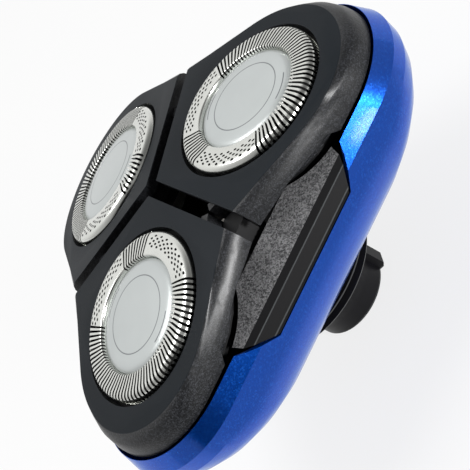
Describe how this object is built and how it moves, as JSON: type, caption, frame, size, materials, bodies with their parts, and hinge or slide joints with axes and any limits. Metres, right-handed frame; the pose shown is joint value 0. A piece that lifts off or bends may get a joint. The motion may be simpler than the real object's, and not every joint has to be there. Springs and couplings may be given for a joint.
{
  "type": "rotary shaver head",
  "caption": "Replacement rotary shaver head with slotted caps in rocking black lobes on a blue shell, driven by gears through a tilting neck with a keyed coupling.",
  "frame": {"origin": "centre of the open end of the neck's collar, on its foot ring", "axes": "+Z along the neck towards the cutting faces, +X towards the lobe above the collar's key"},
  "size_m": [0.0568, 0.0618, 0.0345],
  "materials": {
    "neck_plastic": "satin black moulded plastic",
    "steel": "plain steel",
    "blue_paint": "glossy blue metallic paint on moulded plastic",
    "inner_plastic": "black moulded plastic",
    "grained_plastic": "coarse grained black plastic",
    "gear_plastic": "natural acetal",
    "lobe_plastic": "matte slate black, grained on the shoulder",
    "cap_steel": "bright stainless steel",
    "pale_disc": "pale satin disc"
  },
  "bodies": {
    "coupling": {"coupling_collar": "neck_plastic"},
    "gimbal": {"gimbal_ring": "neck_plastic", "tilt_pins_x": "steel", "tilt_pins_y": "steel"},
    "head": {"rear_shell": "blue_paint", "skirt_ring": "neck_plastic", "gear_pan": "inner_plastic", "pan_screws": "steel", "hinge_carrier": "inner_plastic", "side_plate_0": "grained_plastic", "side_plate_1": "grained_plastic", "side_plate_2": "grained_plastic", "lobe_spring_0": "steel", "lobe_spring_1": "steel", "lobe_spring_2": "steel"},
    "drive": {"drive_shaft": "gear_plastic"},
    "gear_0": {"driven_gear_0": "gear_plastic", "spindle_spring_0": "steel"},
    "spindle_0": {"spindle_0": "gear_plastic"},
    "lobe_0": {"lobe_frame_0": "lobe_plastic", "retaining_ring_0": "inner_plastic", "hair_chamber_0": "inner_plastic", "hinge_pins_0": "steel"},
    "cap_0": {"guard_cap_0": "cap_steel", "cap_disc_0": "pale_disc"},
    "cutter_0": {"cutter_blades_0": "cap_steel", "cutter_hub_0": "inner_plastic"},
    "gear_1": {"driven_gear_1": "gear_plastic", "spindle_spring_1": "steel"},
    "spindle_1": {"spindle_1": "gear_plastic"},
    "lobe_1": {"lobe_frame_1": "lobe_plastic", "retaining_ring_1": "inner_plastic", "hair_chamber_1": "inner_plastic", "hinge_pins_1": "steel"},
    "cap_1": {"guard_cap_1": "cap_steel", "cap_disc_1": "pale_disc"},
    "cutter_1": {"cutter_blades_1": "cap_steel", "cutter_hub_1": "inner_plastic"},
    "gear_2": {"driven_gear_2": "gear_plastic", "spindle_spring_2": "steel"},
    "spindle_2": {"spindle_2": "gear_plastic"},
    "lobe_2": {"lobe_frame_2": "lobe_plastic", "retaining_ring_2": "inner_plastic", "hair_chamber_2": "inner_plastic", "hinge_pins_2": "steel"},
    "cap_2": {"guard_cap_2": "cap_steel", "cap_disc_2": "pale_disc"},
    "cutter_2": {"cutter_blades_2": "cap_steel", "cutter_hub_2": "inner_plastic"}
  },
  "joints": [
    {"name": "neck_tilt_x", "type": "hinge", "parent": "coupling", "child": "gimbal", "pos_m": [0, 0, 0.016], "axis": [1, 0, 0], "range_deg": [-6, 6], "stiffness_Nm_per_rad": 0.1},
    {"name": "neck_tilt_y", "type": "hinge", "parent": "gimbal", "child": "head", "pos_m": [0, 0, 0.016], "axis": [0, 1, 0], "range_deg": [-6, 6], "stiffness_Nm_per_rad": 0.1},
    {"name": "drive_spin", "type": "hinge", "parent": "head", "child": "drive", "pos_m": [0, 0, 0.0195], "axis": [0, 0, 1], "continuous": true},
    {"name": "gear_0_spin", "type": "hinge", "parent": "head", "child": "gear_0", "pos_m": [0.016, 0, 0.0205], "axis": [0, 0, 1], "continuous": true},
    {"name": "spindle_0_slide", "type": "slide", "parent": "gear_0", "child": "spindle_0", "axis": [0, 0, 1], "range_m": [-0.0009, 0], "deforming": ["spindle_spring_0"]},
    {"name": "lobe_0_rock", "type": "hinge", "parent": "head", "child": "lobe_0", "pos_m": [0.00775, 0, 0.0295], "axis": [0, 1, 0], "range_deg": [0, 5], "stiffness_Nm_per_rad": 0.1, "springref_deg": -1.15, "deforming": ["lobe_spring_0"]},
    {"name": "cap_0_float", "type": "slide", "parent": "lobe_0", "child": "cap_0", "axis": [0.1444, 0, 0.9895], "range_m": [-0.0006, 0], "stiffness_N_per_m": 200, "springref_m": 0.0003},
    {"name": "cutter_0_spin", "type": "hinge", "parent": "cap_0", "child": "cutter_0", "pos_m": [0.0166, 0, 0.0323], "axis": [0.1444, 0, 0.9895], "continuous": true},
    {"name": "gear_1_spin", "type": "hinge", "parent": "head", "child": "gear_1", "pos_m": [-0.008, 0.01386, 0.0205], "axis": [0, 0, 1], "continuous": true},
    {"name": "spindle_1_slide", "type": "slide", "parent": "gear_1", "child": "spindle_1", "axis": [0, 0, 1], "range_m": [-0.0009, 0], "deforming": ["spindle_spring_1"]},
    {"name": "lobe_1_rock", "type": "hinge", "parent": "head", "child": "lobe_1", "pos_m": [-0.00387, 0.00671, 0.0295], "axis": [-0.866, -0.5, 0], "range_deg": [0, 5], "stiffness_Nm_per_rad": 0.1, "springref_deg": -1.15, "deforming": ["lobe_spring_1"]},
    {"name": "cap_1_float", "type": "slide", "parent": "lobe_1", "child": "cap_1", "axis": [-0.0722, 0.125, 0.9895], "range_m": [-0.0006, 0], "stiffness_N_per_m": 200, "springref_m": 0.0003},
    {"name": "cutter_1_spin", "type": "hinge", "parent": "cap_1", "child": "cutter_1", "pos_m": [-0.0083, 0.01438, 0.0323], "axis": [-0.0722, 0.125, 0.9895], "continuous": true},
    {"name": "gear_2_spin", "type": "hinge", "parent": "head", "child": "gear_2", "pos_m": [-0.008, -0.01386, 0.0205], "axis": [0, 0, 1], "continuous": true},
    {"name": "spindle_2_slide", "type": "slide", "parent": "gear_2", "child": "spindle_2", "axis": [0, 0, 1], "range_m": [-0.0009, 0], "deforming": ["spindle_spring_2"]},
    {"name": "lobe_2_rock", "type": "hinge", "parent": "head", "child": "lobe_2", "pos_m": [-0.00388, -0.00671, 0.0295], "axis": [0.866, -0.5, 0], "range_deg": [0, 5], "stiffness_Nm_per_rad": 0.1, "springref_deg": -1.15, "deforming": ["lobe_spring_2"]},
    {"name": "cap_2_float", "type": "slide", "parent": "lobe_2", "child": "cap_2", "axis": [-0.0722, -0.125, 0.9895], "range_m": [-0.0006, 0], "stiffness_N_per_m": 200, "springref_m": 0.0003},
    {"name": "cutter_2_spin", "type": "hinge", "parent": "cap_2", "child": "cutter_2", "pos_m": [-0.0083, -0.01438, 0.0323], "axis": [-0.0722, -0.125, 0.9895], "continuous": true}
  ],
  "couplings": [
    {"joint": "gear_0_spin", "follows": "drive_spin", "ratio": -0.81818},
    {"joint": "cutter_0_spin", "follows": "drive_spin", "ratio": -0.81818},
    {"joint": "spindle_0_slide", "follows": "lobe_0_rock", "m_per_rad": -0.0084},
    {"joint": "gear_1_spin", "follows": "drive_spin", "ratio": -0.81818},
    {"joint": "cutter_1_spin", "follows": "drive_spin", "ratio": -0.81818},
    {"joint": "spindle_1_slide", "follows": "lobe_1_rock", "m_per_rad": -0.0084},
    {"joint": "gear_2_spin", "follows": "drive_spin", "ratio": -0.81818},
    {"joint": "cutter_2_spin", "follows": "drive_spin", "ratio": -0.81818},
    {"joint": "spindle_2_slide", "follows": "lobe_2_rock", "m_per_rad": -0.0084}
  ]
}
